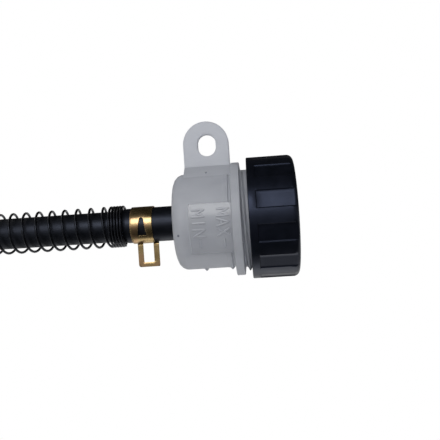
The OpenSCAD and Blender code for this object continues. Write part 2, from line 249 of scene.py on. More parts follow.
def newMaterial(name, sockets):
    # a Principled material with plain values on its shader's sockets, and the place that its patterns read
    material = bpy.data.materials.new(name)
    material.use_nodes = True
    shader = material.node_tree.nodes["Principled BSDF"]
    connect(material.node_tree, shader, sockets)
    place = addNode(material.node_tree, "TexCoord").outputs["Object"]
    return material, material.node_tree, shader, place


axisPlace = (*axisPoint, 0)    # patterns are centred on the shared axis
noiseSpread = {"From Min": 0.3, "From Max": 0.7}    # nearly all of a noise lies between these


# Camera: close to the side of the cup, turned so that the cup's axis runs across the frame
cameraView = {"target": (axisX, axisY, 2.94), "distance": 201, "above": 3.7, "roll": 3.8, "lens": 45.7}


def makeCamera():
    # the axis that runs across is tipped by the angle above, then both are rolled in the frame
    tip, roll = radians(cameraView["above"]), radians(cameraView["roll"])
    across, upward = Vector((0, math.sin(tip), math.cos(tip))), Vector((-1, 0, 0))
    right = across * math.cos(roll) - upward * math.sin(roll)
    up = across * math.sin(roll) + upward * math.cos(roll)
    back = right.cross(up)
    data = bpy.data.cameras.new("camera")
    data.lens, data.sensor_width = cameraView["lens"], 36
    data.clip_start, data.clip_end = 0.01, 20
    camera = addObject("camera", data)
    place = Matrix((right, up, back)).transposed().to_4x4()
    place.translation = Vector(cameraView["target"]) * mm + back * cameraView["distance"] * mm
    camera.matrix_world = place
    bpy.context.scene.camera = camera


makeCamera()
print("camera placed")


# Hose: extruded rubber, swollen where it grips the spigot, hanging straight down
hose = {"bore": 3.4, "radius": 5.6, "gripRadius": 6.25, "spigotRadius": 4.4, "spigotTip": -31.8,
        "flareHalf": 1.5, "flareRound": 2, "cutEdge": 0.25, "length": 230, "around": 96, "rowStep": 3.0}


def extrudedRubber():
    # EPDM rubber, extruded: near black and satin, with lengthwise die lines and a faint dusty bloom
    # the bluish Specular Tint is painted light: it gives the reflections the blue cast of the studio light
    material, tree, shader, place = newMaterial(
        "extrudedRubber", {"IOR": 1.52, "Specular Tint": linear("#C2CCE8")})
    drawn = addNode(tree, "Mapping", {"Vector": place, "Location": axisPlace, "Scale": (1, 1, 60)},
                    vector_type="TEXTURE")
    dieLines = addNode(tree, "TexNoise", {"Vector": drawn, "Scale": 1 / (0.5 * mm), "Detail": 3})
    bloom = addNode(tree, "TexNoise", {"Vector": place, "Scale": 1 / (2.5 * mm), "Detail": 4})
    colour = addNode(tree, "ValToRGB", {"Fac": bloom}, ((0.3, "#030406"), (0.7, "#08090C")))
    rough = addNode(tree, "MapRange",
                    {"Value": bloom, **noiseSpread, "To Min": 0.38, "To Max": 0.48})
    lines = addNode(tree, "Bump", {"Height": dieLines, "Distance": 0.05 * mm, "Strength": 0.4})
    connect(tree, shader, {"Base Color": colour, "Roughness": rough, "Normal": lines})
    return material


def makeHose():
    # closed profile: outside with its flare, both cut ends, the bore and the seat on the spigot
    top, end, edge = hoseHigh[2], hoseLow[2], hose["cutEdge"]
    low, high = hose["spigotTip"] - hose["flareHalf"], hose["spigotTip"] + hose["flareHalf"]
    profile = rounded([
        (hose["bore"], end, edge), (hose["radius"], end, edge), (hose["radius"], low, hose["flareRound"]),
        (hose["gripRadius"], high, hose["flareRound"]), (hose["gripRadius"], top, edge),
        (hose["spigotRadius"], top, 0.1),
        (hose["spigotRadius"], hose["spigotTip"], 0.3), (hose["bore"], low, 0.3)])
    mesh = gridMesh("fluidHose", revolve(densify(profile, lambda r, z: hose["rowStep"]),
                                           ringAngles(hose["around"])), True, True)
    return newPiece("fluidHose", mesh, extrudedRubber(), "reservoir", "hose", "hose")


fluidHose = makeHose()
print("hose made")


# Guard: round spring wire in closed coils, open coils and closed coils again
guard = {"coilRadius": 7.15, "wire": 0.9, "openPitch": 4.85, "endPitch": 1.05, "endCoils": 5, "from": 281,
         "cutEnd": 0.7, "stations": 36, "around": 10, "keep": 0.945}
guardLow, guardHigh = boxOf("hose_guard")


def blackedWire():
    # hard-drawn spring wire under a black lacquer: near black, half gloss, a little paler where it is rubbed
    # the bluish Specular Tint is painted light: it gives the reflections the blue cast of the studio light
    material, tree, shader, place = newMaterial(
        "blackLacqueredWire", {"IOR": 1.5, "Specular Tint": linear("#AEB6CC")})
    worn = addNode(tree, "TexNoise", {"Vector": place, "Scale": 1 / (1.2 * mm), "Detail": 3})
    colour = addNode(tree, "ValToRGB", {"Fac": worn}, ((0.35, "#030304"), (0.7, "#0A0A0C")))
    rough = addNode(tree, "MapRange",
                    {"Value": worn, **noiseSpread, "To Min": 0.22, "To Max": 0.34})
    connect(tree, shader, {"Base Color": colour, "Roughness": rough})
    return material


def makeGuard():
    # the wire's centre climbs by the end pitch, the open pitch and the end pitch as the turns go by
    low, high = guardLow[2] + guard["wire"] / 2, guardHigh[2] - guard["wire"] / 2
    closed = guard["endCoils"] * guard["endPitch"]
    openTurns = (high - low - 2 * closed) / guard["openPitch"]
    turns = openTurns + 2 * guard["endCoils"]
    t = np.linspace(0, turns, math.ceil(turns * guard["stations"]) + 1)
    z = np.interp(t, [0, guard["endCoils"], guard["endCoils"] + openTurns, turns],
                  [low, low + closed, high - closed, high])
    # the wire's round section stands square to the coil: out from the axis, and up across the climb
    turn = radians(guard["from"]) + 2 * math.pi * t[:, None]
    ringTurn = 2 * math.pi * np.arange(guard["around"]) / guard["around"]
    slope = np.gradient(z, t)[:, None] / (2 * math.pi * guard["coilRadius"])
    lean = slope / np.sqrt(1 + slope ** 2)
    wire = guard["wire"] / 2 * np.where((t == 0) | (t == turns), guard["cutEnd"], 1)[:, None]
    out, up = wire * np.cos(ringTurn), wire * np.sin(ringTurn)
    r, along = guard["coilRadius"] + out, -up * lean
    points = np.stack([axisX + r * np.cos(turn) - along * np.sin(turn),
                       axisY + r * np.sin(turn) + along * np.cos(turn),
                       z[:, None] + up * np.sqrt(1 - lean ** 2)], axis=-1)
    piece = newPiece("wireGuard", solidRod("wireGuard", points), blackedWire(), "lower_clamp", "guard",
                     "hose_guard", sharp=50)
    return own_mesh(piece)


wireGuard = makeGuard()
print("guard made")


# Cup: one moulding of spigot, floor, wall, flange and threaded neck, with its raised panel and level ridges
cup = {"radius": 17.1, "inside": 15.0, "floor": -12.4, "floorInside": -10.2, "floorEdge": 3.4,
       "floorCorner": 2.0, "flangeRadius": 20.15, "flangeLow": 8.1, "flangeTop": 11.0, "draft": 0.3,
       "neckRadius": 17.35, "neckTop": 24.2, "spigotRadius": 4.4, "spigotBore": 3.2, "barb": 0.3,
       "barbHeight": 2.4, "soft": 0.3, "bandFrom": 5.2, "bandOut": 0.06, "grooveFrom": 6.9, "groove": 0.3,
       "columns": 216, "insideStep": 2.5, "threadStep": 0.2, "ridgeStep": 0.14, "wallStep": 0.9}
panel = {"middle": 279, "angle": 57, "low": -6.3, "high": 8.4, "out": 0.9, "corner": 0.3,
         "roundCorner": 1.5, "edge": 0.1}
root = {"out": 2.3, "thickness": 14.2, "endThickness": 5.0, "low": -8.5, "edge": 0.15}
ridge = {"heights": (-2.8, 6.5), "middle": 16, "angle": 48, "out": 0.8, "halfWidth": 1.0, "endFade": 1.8}
neckThread = {"pitch": 3.0, "depth": 1.35, "halfWidth": 0.95, "low": 11.4, "turns": 3.03, "from": 190,
              "fade": 1 / 12, "top": 22.6}
ear = {"thickness": 3.0, "width": 16.4, "roundCentre": -0.4, "drop": 0.3, "slotWidth": 6.5, "slotPlay": 1.3,
       "edge": 0.5, "slotEdge": 0.25}


def mouldedNylon(name, roughLow, roughHigh, tints=("#BFC2CA", "#C7CAD1")):
    # natural nylon 6, injection moulded: milky and half clear, so thin parts glow; its body takes up more
    # light the deeper the light goes, so the flange and the ear's root are darker and bluer
    material, tree, shader, place = newMaterial(name, {"IOR": 1.5, "Transmission Weight": 0.48})
    drawn = addNode(tree, "Mapping", {"Vector": place, "Location": axisPlace, "Scale": (1, 1, 2.5)},
                    vector_type="TEXTURE")
    flow = addNode(tree, "TexNoise", {"Vector": drawn, "Scale": 1 / (3.5 * mm), "Detail": 3})
    skin = addNode(tree, "TexNoise", {"Vector": place, "Scale": 1 / (0.35 * mm), "Detail": 2})
    colour = addNode(tree, "ValToRGB", {"Fac": flow}, ((0.3, tints[0]), (0.7, tints[1])))
    rough = addNode(tree, "MapRange",
                    {"Value": flow, **noiseSpread, "To Min": roughLow, "To Max": roughHigh})
    grain = addNode(tree, "Bump", {"Height": skin, "Distance": 0.01 * mm, "Strength": 0.5})
    connect(tree, shader, {"Base Color": colour, "Roughness": rough, "Normal": grain})
    body = addNode(tree, "VolumeAbsorption", {"Color": linear("#A9AEBA"), "Density": 20.0})
    connect(tree, tree.nodes["Material Output"], {"Volume": body})
    return material


def cupSurface(r, z, a):
    # the turned profile, pushed out by the ear's root, the panel, the level ridges and the thread
    outside = r > (cup["inside"] + cup["radius"]) / 2
    wall, t = cup["radius"], np.abs(away(a, 180))
    # root: a flat end and two flat sides that slope back to the wall
    face, end, foot = wall + root["out"], root["endThickness"] / 2, root["thickness"] / 2
    footX = math.sqrt(wall ** 2 - foot ** 2)
    slope = np.array([foot - end, face - footX])
    side = slope @ [face, end] / (slope[0] * np.cos(t) + slope[1] * np.sin(t))
    block = np.minimum(face / np.cos(t), side)
    grown = smooth((z - root["low"] + root["edge"]) / (2 * root["edge"]))
    isRoot = outside & (t < math.atan2(foot, footX)) & (z < cup["flangeLow"]) & (grown > 0)
    r = np.where(isRoot, np.maximum(r, wall + (block - wall) * grown), r)
    # distance outside the panel's outline, whose corner beside the flange and the ear is rounder
    across = away(a, panel["middle"]) * wall
    up = z - (panel["low"] + panel["high"]) / 2
    corner = np.where((across < 0) & (up > 0), panel["roundCorner"], panel["corner"])
    overX = np.abs(across) - radians(panel["angle"] / 2) * wall + corner
    overZ = np.abs(up) - (panel["high"] - panel["low"]) / 2 + corner
    gap = np.hypot(np.maximum(overX, 0), np.maximum(overZ, 0)) + np.minimum(np.maximum(overX, overZ), 0)
    raised = panel["out"] * smooth(0.5 - (gap - corner) / (2 * panel["edge"]))
    for height in ridge["heights"]:
        ends = radians(ridge["angle"] / 2) - np.abs(away(a, ridge["middle"]))
        shown = ridge["out"] * hump((z - height) / ridge["halfWidth"])
        raised = np.maximum(raised, shown * smooth(ends / radians(ridge["endFade"])))
    onWall = outside & (z < cup["flangeLow"]) & (z > cup["floor"] + cup["floorEdge"]) & (raised > 0)
    r = np.where(onWall, np.maximum(r, wall + raised), r)
    screw = neckThread["depth"] * threadHeight(z, a, neckThread)
    onNeck = (r > cup["neckRadius"] - 0.05) & (z > cup["flangeTop"] - 0.05) & (z < neckThread["top"])
    return np.where(onNeck, np.maximum(r, cup["neckRadius"] + screw), r)


def cupProfile():
    # corners of the closed half section, with rows close together where the surface changes fast
    tip, wall, flange, neck = bodyLow[2], cup["radius"], cup["flangeRadius"], cup["neckRadius"]
    barb, spigot = cup["spigotRadius"] + cup["barb"], cup["spigotRadius"]
    proud, sunk, soft = wall + cup["bandOut"], wall - cup["groove"], cup["soft"]
    dense = [(root["low"] - 0.3, root["low"] + 0.3), (panel["low"] - 0.2, panel["low"] + 0.5),
             *[(z - ridge["halfWidth"], z + ridge["halfWidth"]) for z in ridge["heights"]]]
    corners = [(cup["spigotBore"], tip, 0.2), (spigot - cup["barb"], tip, 0.2),
               (barb, tip + cup["barbHeight"], 0.1), (spigot, tip + cup["barbHeight"] + cup["barb"], 0.1),
               (spigot, cup["floor"], 0.25), (wall, cup["floor"], cup["floorEdge"]),
               *[(wall, z, 0) for z in sorted(sum(dense[:3], ()))],
               (wall, cup["bandFrom"], 0.05), (proud, cup["bandFrom"] + 0.1, 0.05),
               (proud, cup["grooveFrom"], 0.08), (sunk, cup["grooveFrom"] + 0.15, 0.08),
               (sunk, cup["flangeLow"] - cup["draft"], 0.15), (flange, cup["flangeLow"], soft),
               (flange, cup["flangeTop"], soft), (neck, cup["flangeTop"] + cup["draft"], 0.15),
               (neck, neckThread["top"], 0), (neck, cup["neckTop"], soft),
               (cup["inside"], cup["neckTop"], soft),
               (cup["inside"], cup["floorInside"], cup["floorCorner"]),
               (cup["spigotBore"], cup["floorInside"], 0.3)]

    def step(r, z):
        if r < wall - 0.5:
            return cup["insideStep"]
        if z > cup["flangeTop"]:
            return cup["threadStep"]
        return cup["ridgeStep"] if any(low < z < high for low, high in dense) else cup["wallStep"]
    return densify(rounded(corners), step)


def makeEar():
    # flat plate: outline and slot are loops with matching points, joined over rounded edges into a ring
    half, mid = ear["width"] / 2, ear["roundCentre"]
    buried = axisX - (cup["radius"] + cup["inside"]) / 2

    def outline(inset):
        # round end, then straight along both sides and across the buried end
        turn = np.radians(np.linspace(90, 270, 49))
        edge = np.linspace(mid, buried, 16)[1:]
        side = np.linspace(-1, 1, 18)[1:-1]
        x = np.concatenate([mid + (half - inset) * np.cos(turn), edge, np.full(16, buried), edge[::-1]])
        z = np.concatenate([(half - inset) * np.sin(turn), np.full(15, inset - half),
                            side * (half - inset), np.full(15, half - inset)])
        return np.stack([x, z - ear["drop"]], axis=-1)

    def slotLoop(inset):
        # the slot's edge in the same directions from its middle as the outline's points
        angle = np.arctan2(outline(0)[:, 1], outline(0)[:, 0])
        radius, play = ear["slotWidth"] / 2 + inset, ear["slotPlay"] / 2
        ends = play * np.abs(np.cos(angle)) + np.sqrt(radius ** 2 - (play * np.sin(angle)) ** 2)
        flat = radius / np.maximum(np.abs(np.sin(angle)), 1e-9)
        reach = np.where(np.abs(flat * np.cos(angle)) < play, flat, ends)
        return np.stack([reach * np.cos(angle), reach * np.sin(angle)], axis=-1)

    quarter = np.radians(np.linspace(0, 90, 5))
    rings = []
    for loop, edge in ((outline, ear["edge"]), (slotLoop, ear["slotEdge"])):
        inset, depth = edge * (1 - np.sin(quarter)), edge * (1 - np.cos(quarter))
        front = [(loop(i), y - ear["thickness"]) for i, y in zip(inset, depth)]
        rings.append(front + [(loop(i), -y) for i, y in zip(inset[::-1], depth[::-1])])
    outer, slot = rings[0], rings[1][::-1]
    faces = []
    for (a, y), (b, _) in ((outer[-1], slot[0]), (slot[-1], outer[0])):
        faces.append([(a + (b - a) * w, y) for w in (0.25, 0.5, 0.75)])
    stations = outer + faces[0] + slot + faces[1]
    points = np.stack([np.insert(flat, 1, y, axis=1) for flat, y in stations], axis=0)
    return gridMesh("ear", points, True, True)


def united(first, second):
    # one closed mesh from two that overlap
    base, other = addObject("first", first), addObject("second", second)
    union = base.modifiers.new("union", "BOOLEAN")
    union.operation, union.solver, union.object = "UNION", "EXACT", other
    done = bpy.data.meshes.new_from_object(base.evaluated_get(bpy.context.evaluated_depsgraph_get()))
    for thing in (base, other):
        bpy.data.objects.remove(thing)
    return done


def makeCup():
    # columns are close together at the panel's two ends and at the root's corners
    ends = panel["middle"] + np.array([-1, 1]) * panel["angle"] / 2
    corners = [math.degrees(math.asin(root["thickness"] / 2 / cup["radius"])),
               math.degrees(math.atan2(root["endThickness"] / 2, cup["radius"] + root["out"]))]
    near = [np.arange(ends[0] - 0.6, ends[0] + 5.2, 0.45), np.arange(ends[1] - 1.6, ends[1] + 0.7, 0.45),
            *[180 + s * (c + np.array([-0.3, 0, 0.3])) for c in corners for s in (-1, 1)]]
    shell = gridMesh("cupShell", revolve(cupProfile(), ringAngles(cup["columns"], *near), cupSurface),
                     True, True)
    piece = newPiece("cupWithEar", united(shell, makeEar()), satinNylon, "reservoir", "cup",
                     "reservoir_body", sharp=40)
    # the panel's face is polished in the mould
    mesh = piece.data
    mesh.materials.append(polishedNylon)
    centre = np.empty(len(mesh.polygons) * 3, np.float32)
    mesh.polygons.foreach_get("center", centre)
    x, y, z = centre.reshape(-1, 3).T / mm
    r, a = np.hypot(x - axisX, y - axisY), np.arctan2(y - axisY, x - axisX)
    onPanel = np.abs(away(a, panel["middle"])) < radians(panel["angle"] / 2)
    onPanel &= (np.abs(r - cup["radius"] - panel["out"]) < 0.1) & (z > panel["low"])
    onPanel &= z < cup["flangeLow"] - cup["draft"]
    mesh.polygons.foreach_set("material_index", onPanel.astype(np.int32))
    return piece


satinNylon = mouldedNylon("satinMouldedNylon", 0.42, 0.54)
polishedNylon = mouldedNylon("polishedMouldedNylon", 0.16, 0.24)
cupWithEar = makeCup()
print("cup made:", len(cupWithEar.data.polygons), "faces")


# Words and lines that name the two levels, raised on the panel, and the small pips of the moulding tool
mark = {"height": 3.8, "letterWidth": 2.3, "letterGap": 1.0, "stroke": 0.6, "raise": 0.3, "sunk": 0.12,
        "draft": 0.12, "start": 258, "words": ((3.2, "MAX"), (-4.9, "MIN")), "lineGap": 1.3, "line": 2.5}
# each pip: its place as angle, height and radius, the angle that it faces
pip = {"places": ((198.2, -0.55, 17.74, 219.9), (285, -10.2, 16.88, 285)), "radius": 0.4, "raise": 0.12}
letterStrokes = {
    "M": [[(0, 0), (0, 1), (0.5, 0.35), (1, 1), (1, 0)]],
    "A": [[(0, 0), (0.5, 1), (1, 0)], [(0.2, 0.33), (0.8, 0.33)]],
    "X": [[(0, 0), (1, 1)], [(0, 1), (1, 0)]],
    "I": [[(0.5, 0), (0.5, 1)]],
    "N": [[(0, 0), (0, 1), (1, 0), (1, 1)]]}


def raisedStroke(path, surfaceRadius):
    # a bar along (arc length, height) points on the cup's wall, with mitred corners and sloping sides
    path = densify(np.array(path, float), lambda s, h: 0.6, closed=False)
    along = np.diff(path, axis=0)
    along /= np.linalg.norm(along, axis=1, keepdims=True)
    before, after = np.vstack([along[:1], along]), np.vstack([along, along[-1:]])
    normal = np.stack([-(before + after)[:, 1], (before + after)[:, 0]], axis=-1)
    normal /= np.maximum((normal * normal).sum(axis=1, keepdims=True) / 2, 0.6)
    path = np.vstack([path[0] - along[0] * mark["stroke"] / 2, path[1:-1],
                      path[-1] + along[-1] * mark["stroke"] / 2])
    wide, top = mark["stroke"] / 2 + mark["draft"], mark["stroke"] / 2
    section = [(-wide, -mark["sunk"]), (-top, mark["raise"] * 0.8), (-top * 0.6, mark["raise"]),
               (top * 0.6, mark["raise"]), (top, mark["raise"] * 0.8), (wide, -mark["sunk"])]
    flat = np.stack([path + normal * side for side, _ in section], axis=1)
    out = np.broadcast_to([height for _, height in section], flat.shape[:2])
    angle = radians(mark["start"]) + flat[..., 0] / surfaceRadius
    return solidRod("stroke", aroundAxis(surfaceRadius + out, angle, flat[..., 1]))


def joined(name, meshes):
    # several closed meshes as one
    whole = bmesh.new()
    for mesh in meshes:
        whole.from_mesh(mesh)
        bpy.data.meshes.remove(mesh)
    result = bpy.data.meshes.new(name)
    whole.to_mesh(result)
    whole.free()
    return result


def makeMarks():
    surfaceRadius = cup["radius"] + panel["out"]
    width, height, meshes = mark["letterWidth"], mark["height"], []
    for base, word in mark["words"]:
        pen = 0
        for letter in word:
            for path in letterStrokes[letter]:
                meshes.append(raisedStroke([(pen + x * width, base + z * height) for x, z in path],
                                           surfaceRadius))
            pen += width + mark["letterGap"]
        pen += mark["lineGap"] - mark["letterGap"]
        level = base + height / 2
        meshes.append(raisedStroke([(pen, level), (pen + mark["line"], level)], surfaceRadius))
    return newPiece("levelMarks", joined("levelMarks", meshes), polishedNylon, "reservoir", "cup", sharp=30)


def makePips():
    meshes = []
    for angle, z, radius, facing in pip["places"]:
        # a low round button: rings that rise from its foot to its middle
        turn = np.linspace(0, 2 * math.pi, 16, endpoint=False)
        size, rise = np.array([[1], [1], [0.8], [0]]), np.array([[-1], [0.5], [1], [1]])
        angle, facing = radians(angle), radians(facing)
        side, up = size * pip["radius"] * np.cos(turn), size * pip["radius"] * np.sin(turn)
        out = rise * pip["raise"] + 0 * turn
        x = axisX + radius * math.cos(angle) + out * math.cos(facing) - side * math.sin(facing)
        y = axisY + radius * math.sin(angle) + out * math.sin(facing) + side * math.cos(facing)
        meshes.append(gridMesh("pip", np.stack([x, y, z + up], axis=-1), False, True))
    # nylon where the moulding was cut free, dull, with its tint darkened: painted shade for the dimmer look
    # of the thick vestige
    pipShadeNylon = mouldedNylon("pipPaintedShadeNylon", 0.5, 0.6, ("#6E7484", "#7C8292"))
    return newPiece("gatePips", joined("gatePips", meshes), pipShadeNylon, "reservoir", "cup", sharp=30)


makeMarks()
makePips()
print("level marks made")


# Cap: black screw cap with flat-bottomed flutes, a recessed top, a snap bead and an inner thread
cap = {"edge": 2.0, "softMouth": 0.3, "band": 2.7, "flutes": 12, "firstFlute": 283.8, "fluteAngle": 16,
       "fluteDepth": 0.5, "fluteEdge": 0.7, "fluteFoot": 0.24, "rim": 3.4, "recess": 0.4, "top": 2.4,
       "rootRadius": 19.1, "boreRadius": 17.9, "shoulder": 21.65, "beadRadius": 16.9, "beadLow": 24.8,
       "beadHeight": 0.9, "chamfer": 0.5, "columns": 120}
capThread = {"pitch": 3.0, "depth": 1.45, "halfWidth": 0.95, "low": 15.9, "turns": 1.5, "from": 190,
             "fade": 1 / 12}
capRadius = round((capHigh[0] - capLow[0]) / 2, 2)


def blackCapPlastic():
    # glass-filled black nylon, injection moulded: satin, with a fine spark-eroded grain
    # the bluish Specular Tint is painted light: it gives the reflections the blue cast of the studio light
    material, tree, shader, place = newMaterial(
        "blackMouldedNylon", {"IOR": 1.5, "Specular Tint": linear("#AEBCE4")})
    skin = addNode(tree, "TexNoise", {"Vector": place, "Scale": 1 / (0.3 * mm), "Detail": 2})
    patches = addNode(tree, "TexNoise", {"Vector": place, "Scale": 1 / (4 * mm), "Detail": 3})
    colour = addNode(tree, "ValToRGB", {"Fac": patches}, ((0.3, "#06080D"), (0.7, "#0B0D14")))
    rough = addNode(tree, "MapRange",
                    {"Value": patches, **noiseSpread, "To Min": 0.3, "To Max": 0.38})
    grain = addNode(tree, "Bump", {"Height": skin, "Distance": 0.008 * mm, "Strength": 0.5})
    connect(tree, shader, {"Base Color": colour, "Roughness": rough, "Normal": grain})
    return material


def capSurface(r, z, a):
    # flat-bottomed flutes in the side above the plain band, and the thread inside
    each = 2 * math.pi / cap["flutes"]
    off = (a - radians(cap["firstFlute"]) + each / 2) % each - each / 2
    side = radians(cap["fluteAngle"] / 2) - np.abs(off)
    inFlute = smooth(side / radians(cap["fluteEdge"]) + 0.5)
    above = smooth((z - capLow[2] - cap["band"]) / cap["fluteFoot"] + 0.5)
    floor = (capRadius - cap["fluteDepth"]) / np.cos(off)
    outer = (r > cap["rootRadius"] + cap["chamfer"]) & (z > capLow[2] + cap["chamfer"])
    r = np.where(outer, r - np.maximum(r - floor, 0) * inFlute * above, r)
    screw = capThread["depth"] * threadHeight(z, a, capThread)
    inside = (np.abs(r - cap["rootRadius"]) < 0.02) & (z > capLow[2] + 0.4)
    return np.where(inside, r - screw, r)


def makeCap():
    low, high = capLow[2], capHigh[2]
    ceiling, rim = high - cap["top"], capRadius - cap["rim"]
    bead, band = cap["beadLow"], low + cap["band"]
    corners = [(0, ceiling, 0), (cap["boreRadius"], ceiling, 0.3),
               (cap["boreRadius"], bead + cap["beadHeight"], 0.1),
               (cap["beadRadius"], bead + cap["beadHeight"], 0.15),
               (cap["beadRadius"], bead + cap["beadHeight"] / 2, 0.1), (cap["boreRadius"], bead, 0.1),
               (cap["boreRadius"], cap["shoulder"] + cap["chamfer"], 0.1),
               (cap["rootRadius"], cap["shoulder"], 0), (cap["rootRadius"], low + cap["chamfer"], 0),
               (cap["rootRadius"] + cap["chamfer"], low, 0.15), (capRadius, low, cap["softMouth"]),
               (capRadius, band - 0.15, 0), (capRadius, band + 0.15, 0), (capRadius, high, cap["edge"]),
               (rim, high, 0.3), (rim - cap["recess"], high - cap["recess"], 0.3),
               (0, high - cap["recess"], 0)]

    def step(r, z):
        if r > rim and abs(z - band) < 0.2:
            return 0.06
        return 0.25 if abs(r - cap["rootRadius"]) < 0.1 else 2.5
    profile = densify(rounded(corners, 7), step, closed=False)
    centres = cap["firstFlute"] + np.arange(cap["flutes"])[:, None] * 360 / cap["flutes"]
    across = cap["fluteAngle"] / 2 + cap["fluteEdge"] * np.array([-0.5, -0.17, 0.17, 0.5])
    edges = (np.concatenate([-across, across]) + centres).ravel()
    mesh = gridMesh("screwCap", revolve(profile, ringAngles(cap["columns"], edges), capSurface), False, True)
    return newPiece("screwCap", mesh, blackCapPlastic(), "cap", "cap", "cap", sharp=40)


screwCap = makeCap()
print("cap made:", len(screwCap.data.polygons), "faces")


# Inside: the slip plate under the cap, and the rubber bellows that seals the neck
plate = {"radius": 17.3, "low": 26.0, "high": 27.5, "lipRadius": 11.7, "lip": 1.0, "lipDepth": 2.0,
         "soft": 0.2, "notchWidth": 2.0, "notchDepth": 1.5, "columns": 96}
bellows = {"rim": 16.5, "seal": 1.8, "wall": 1.0, "radius": 13.6, "foldDepth": 2.0, "foldHeight": 4.0,
           "folds": 2, "skirt": 2.2, "soft": 0.3, "columns": 96}


def acetal():
    # black acetal, moulded: waxy, even, with a slight sheen
    material, tree, shader, place = newMaterial("blackAcetal", {"IOR": 1.48})
    skin = addNode(tree, "TexNoise", {"Vector": place, "Scale": 1 / (0.8 * mm), "Detail": 2})
    colour = addNode(tree, "ValToRGB", {"Fac": skin}, ((0.3, "#26282C"), (0.7, "#2D2F34")))
    rough = addNode(tree, "MapRange",
                    {"Value": skin, **noiseSpread, "To Min": 0.34, "To Max": 0.42})
    connect(tree, shader, {"Base Color": colour, "Roughness": rough})
    return material


def mouldedRubber():
    # EPDM rubber, compression moulded: dull black with the faint grain of talc from the mould
    material, tree, shader, place = newMaterial("mouldedRubber", {"IOR": 1.52})
    talc = addNode(tree, "TexNoise", {"Vector": place, "Scale": 1 / (1.5 * mm), "Detail": 4})
    colour = addNode(tree, "ValToRGB", {"Fac": talc}, ((0.3, "#161618"), (0.7, "#222225")))
    rough = addNode(tree, "MapRange",
                    {"Value": talc, **noiseSpread, "To Min": 0.5, "To Max": 0.68})
    grain = addNode(tree, "Bump", {"Height": talc, "Distance": 0.02 * mm, "Strength": 0.5})
    connect(tree, shader, {"Base Color": colour, "Roughness": rough, "Normal": grain})
    return material


def makePlate():
    def notched(r, z, a):
        # two notches across the edge, on the line through the ear
        off = (a + math.pi / 2) % math.pi - math.pi / 2
        cut = np.abs(off) * plate["radius"] < plate["notchWidth"] / 2
        deep = (plate["radius"] - plate["notchDepth"]) / np.cos(off)
        return np.where(cut, np.minimum(r, deep), r)
    inner, soft = plate["lipRadius"] - plate["lip"], plate["soft"]
    corners = [(inner, plate["low"] - plate["lipDepth"], soft),
               (plate["lipRadius"], plate["low"] - plate["lipDepth"], soft),
               (plate["lipRadius"], plate["low"], soft), (plate["radius"], plate["low"], soft),
               (plate["radius"], plate["high"], soft), (inner, plate["high"], soft)]
    edge = math.degrees(plate["notchWidth"] / 2 / plate["radius"])
    sides = [edge - 0.05, edge + 0.05, 360 - edge - 0.05, 360 - edge + 0.05]
    angles = ringAngles(plate["columns"], sides, [s + 180 for s in sides])
    mesh = gridMesh("slipPlate", revolve(densify(rounded(corners, 4), lambda r, z: 1.5), angles, notched),
                    True, True)
    return newPiece("slipPlate", mesh, acetal(), "set_plate", "plate", "diaphragm_plate")


def makeBellows():
    # the folds' outer corners, then the same corners one wall further in
    top, neck, wall = plate["low"], plate["low"] - bellows["seal"], bellows["wall"]
    count = 2 * bellows["folds"] + 1
    outer = [(bellows["radius"] - bellows["foldDepth"] * (i % 2),
              neck - bellows["skirt"] - i * bellows["foldHeight"] / 2) for i in range(count)]
    bottom = outer[-1][1]
    corners = [(0, bottom + wall, 0), (outer[-1][0] - wall, bottom + wall, 0.4),
               *[(r - wall, z, 0.35) for r, z in outer[-2::-1]],
               (bellows["radius"] - wall, top, 0.2), (bellows["rim"], top, bellows["soft"]),
               (bellows["rim"], neck, bellows["soft"]), (bellows["radius"], neck, 0.3),
               *[(r, z, 0.5) for r, z in outer], (0, bottom, 0)]
    profile = densify(rounded(corners, 4), lambda r, z: 2.0, closed=False)
    mesh = gridMesh("rubberBellows", revolve(profile, ringAngles(bellows["columns"])), False, True)
    return newPiece("rubberBellows", mesh, mouldedRubber(), "reservoir", "diaphragm", "diaphragm")


makePlate()
makeBellows()
print("plate and bellows made")


# Clamps: each is one strip of spring steel with a tapered window, a loop tab and a tongue through the loop
clamp = {"thickness": 0.4, "width": 7.8, "slot": 3.8, "leg": 2.0, "loopOut": 8.5, "bar": 1.65,
         "tabShift": 1.05, "tongue": 3.3, "tongueOut": 5.3, "tongueTab": 6.0, "tongueAngle": 60,
         "tongueFrom": 352, "slotTo": 75, "windowFrom": 245, "windowTo": 304, "windowNarrow": 1.2,
         "windowWide": 3.4, "windowShift": 0.2, "windowRound": 4.8, "windowTip": 0.97, "edgeStrip": 0.4,
         "bend": 0.75, "corner": 0.9, "squarer": 0.3, "fillet": 0.3, "burr": 0.1}


def yellowZinc():
    # spring steel strip, zinc plated with a worn yellow passivate: pale tan metal, faintly pink and green
    material, tree, shader, place = newMaterial("yellowZincSteel", {"Metallic": 1.0})
    film = addNode(tree, "TexNoise", {"Vector": place, "Scale": 1 / (6 * mm), "Detail": 1.0})
    colour = addNode(tree, "ValToRGB", {"Fac": film},
                     ((0.3, "#B69B6C"), (0.48, "#C5AB7C"), (0.6, "#C8A27C"), (0.7, "#B7A775")))
    rough = addNode(tree, "MapRange",
                    {"Value": film, **noiseSpread, "To Min": 0.24, "To Max": 0.32})
    connect(tree, shader, {"Base Color": colour, "Roughness": rough})
    return material


